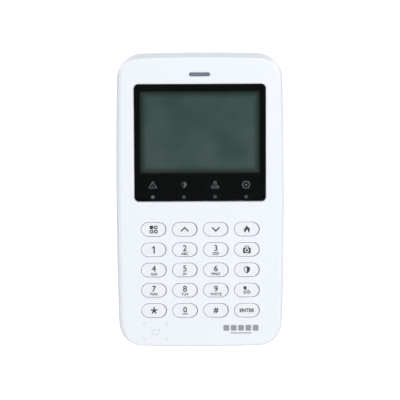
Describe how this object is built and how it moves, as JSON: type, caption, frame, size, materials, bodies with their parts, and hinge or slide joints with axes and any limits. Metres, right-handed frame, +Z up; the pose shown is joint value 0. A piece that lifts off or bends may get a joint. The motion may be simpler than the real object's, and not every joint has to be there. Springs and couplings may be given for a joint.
{
  "type": "alarm keypad panel",
  "caption": "Wall-mounted wireless alarm keypad: a rounded white panel with a black display window, a status light bar and sprung keys, on a slide-off wall bracket.",
  "frame": {"origin": "centre of the wall bracket's flat wall face, which is also the middle of the panel's width and height", "axes": "+Z up, along the long sides; +Y into the wall; +X to the right for a person facing the keys"},
  "size_m": [0.096, 0.0303, 0.168],
  "materials": {
    "cover": "satin white moulded ABS with a very fine texture",
    "bracket": "plain white moulded ABS",
    "key": "satin off-white moulded key cap",
    "print": "dark grey pad-printed ink",
    "faint_print": "light grey pad-printed ink",
    "window": "polished acrylic with a black border printed on its back",
    "window_print": "grey symbols printed behind the window",
    "display": "grey-green liquid crystal cell, switched off",
    "light_bar": "grey diffusing light pipe, unlit",
    "clear_plastic": "frosted clear light guide",
    "tape": "black adhesive foam tape",
    "rubber": "grey silicone rubber",
    "circuit_board": "green solder resist on glass-epoxy board",
    "chip": "black moulded epoxy",
    "flex": "amber polyimide ribbon",
    "steel": "bright nickel-plated steel",
    "copper": "enamelled copper wire",
    "cell": "printed plastic sleeve on a steel can"
  },
  "bodies": {
    "bracket": {"wall_bracket": "bracket"},
    "panel": {"rear_cover": "cover", "front_cover": "cover", "display_window": "window", "window_tape": "tape", "display_glass": "display", "display_backlight": "clear_plastic", "display_flex_cable": "flex", "status_light_bar": "light_bar", "indicator_light_guide": "clear_plastic", "keypad_mat": "rubber", "main_board": "circuit_board", "processor_chip": "chip", "radio_module": "steel", "tamper_switch": "chip", "buzzer": "chip", "radio_antenna": "copper", "card_reader_coil": "copper", "tamper_spring": "steel", "lock_screw": "steel", "battery_cell_1": "cell", "housing_screw_1": "steel", "board_screw_1": "steel", "battery_cell_2": "cell", "housing_screw_2": "steel", "board_screw_2": "steel", "battery_cell_3": "cell", "housing_screw_3": "steel", "board_screw_3": "steel", "battery_cell_4": "cell", "housing_screw_4": "steel", "board_screw_4": "steel", "battery_contact_1_2": "steel", "battery_contact_3_4": "steel", "battery_contact_2_3": "steel", "battery_contact_negative": "steel", "battery_contact_positive": "steel"},
    "key_menu": {"key_menu": "key"},
    "key_up": {"key_up": "key"},
    "key_down": {"key_down": "key"},
    "key_fire": {"key_fire": "key"},
    "key_1": {"key_1": "key"},
    "key_2": {"key_2": "key"},
    "key_3": {"key_3": "key"},
    "key_medical": {"key_medical": "key"},
    "key_4": {"key_4": "key"},
    "key_5": {"key_5": "key"},
    "key_6": {"key_6": "key"},
    "key_shield": {"key_shield": "key"},
    "key_7": {"key_7": "key"},
    "key_8": {"key_8": "key"},
    "key_9": {"key_9": "key"},
    "key_zones": {"key_zones": "key"},
    "key_star": {"key_star": "key"},
    "key_0": {"key_0": "key"},
    "key_hash": {"key_hash": "key"},
    "key_enter": {"key_enter": "key"},
    "tamper_plunger": {"tamper_plunger": "bracket"}
  },
  "joints": [
    {"name": "panel_lift", "type": "slide", "parent": "bracket", "child": "panel", "axis": [0, 0, 1], "range_m": [0, 0.006]},
    {"name": "key_menu_press", "type": "slide", "parent": "panel", "child": "key_menu", "axis": [0, 1, 0], "range_m": [0, 0.0007], "stiffness_N_per_m": 500, "springref_m": -0.0008},
    {"name": "key_up_press", "type": "slide", "parent": "panel", "child": "key_up", "axis": [0, 1, 0], "range_m": [0, 0.0007], "stiffness_N_per_m": 500, "springref_m": -0.0008},
    {"name": "key_down_press", "type": "slide", "parent": "panel", "child": "key_down", "axis": [0, 1, 0], "range_m": [0, 0.0007], "stiffness_N_per_m": 500, "springref_m": -0.0008},
    {"name": "key_fire_press", "type": "slide", "parent": "panel", "child": "key_fire", "axis": [0, 1, 0], "range_m": [0, 0.0007], "stiffness_N_per_m": 500, "springref_m": -0.0008},
    {"name": "key_1_press", "type": "slide", "parent": "panel", "child": "key_1", "axis": [0, 1, 0], "range_m": [0, 0.0007], "stiffness_N_per_m": 500, "springref_m": -0.0008},
    {"name": "key_2_press", "type": "slide", "parent": "panel", "child": "key_2", "axis": [0, 1, 0], "range_m": [0, 0.0007], "stiffness_N_per_m": 500, "springref_m": -0.0008},
    {"name": "key_3_press", "type": "slide", "parent": "panel", "child": "key_3", "axis": [0, 1, 0], "range_m": [0, 0.0007], "stiffness_N_per_m": 500, "springref_m": -0.0008},
    {"name": "key_medical_press", "type": "slide", "parent": "panel", "child": "key_medical", "axis": [0, 1, 0], "range_m": [0, 0.0007], "stiffness_N_per_m": 500, "springref_m": -0.0008},
    {"name": "key_4_press", "type": "slide", "parent": "panel", "child": "key_4", "axis": [0, 1, 0], "range_m": [0, 0.0007], "stiffness_N_per_m": 500, "springref_m": -0.0008},
    {"name": "key_5_press", "type": "slide", "parent": "panel", "child": "key_5", "axis": [0, 1, 0], "range_m": [0, 0.0007], "stiffness_N_per_m": 500, "springref_m": -0.0008},
    {"name": "key_6_press", "type": "slide", "parent": "panel", "child": "key_6", "axis": [0, 1, 0], "range_m": [0, 0.0007], "stiffness_N_per_m": 500, "springref_m": -0.0008},
    {"name": "key_shield_press", "type": "slide", "parent": "panel", "child": "key_shield", "axis": [0, 1, 0], "range_m": [0, 0.0007], "stiffness_N_per_m": 500, "springref_m": -0.0008},
    {"name": "key_7_press", "type": "slide", "parent": "panel", "child": "key_7", "axis": [0, 1, 0], "range_m": [0, 0.0007], "stiffness_N_per_m": 500, "springref_m": -0.0008},
    {"name": "key_8_press", "type": "slide", "parent": "panel", "child": "key_8", "axis": [0, 1, 0], "range_m": [0, 0.0007], "stiffness_N_per_m": 500, "springref_m": -0.0008},
    {"name": "key_9_press", "type": "slide", "parent": "panel", "child": "key_9", "axis": [0, 1, 0], "range_m": [0, 0.0007], "stiffness_N_per_m": 500, "springref_m": -0.0008},
    {"name": "key_zones_press", "type": "slide", "parent": "panel", "child": "key_zones", "axis": [0, 1, 0], "range_m": [0, 0.0007], "stiffness_N_per_m": 500, "springref_m": -0.0008},
    {"name": "key_star_press", "type": "slide", "parent": "panel", "child": "key_star", "axis": [0, 1, 0], "range_m": [0, 0.0007], "stiffness_N_per_m": 500, "springref_m": -0.0008},
    {"name": "key_0_press", "type": "slide", "parent": "panel", "child": "key_0", "axis": [0, 1, 0], "range_m": [0, 0.0007], "stiffness_N_per_m": 500, "springref_m": -0.0008},
    {"name": "key_hash_press", "type": "slide", "parent": "panel", "child": "key_hash", "axis": [0, 1, 0], "range_m": [0, 0.0007], "stiffness_N_per_m": 500, "springref_m": -0.0008},
    {"name": "key_enter_press", "type": "slide", "parent": "panel", "child": "key_enter", "axis": [0, 1, 0], "range_m": [0, 0.0007], "stiffness_N_per_m": 500, "springref_m": -0.0008},
    {"name": "tamper_plunger_slide", "type": "slide", "parent": "panel", "child": "tamper_plunger", "axis": [0, 1, 0], "range_m": [0, 0.002], "stiffness_N_per_m": 200, "deforming": ["tamper_spring"]}
  ]
}
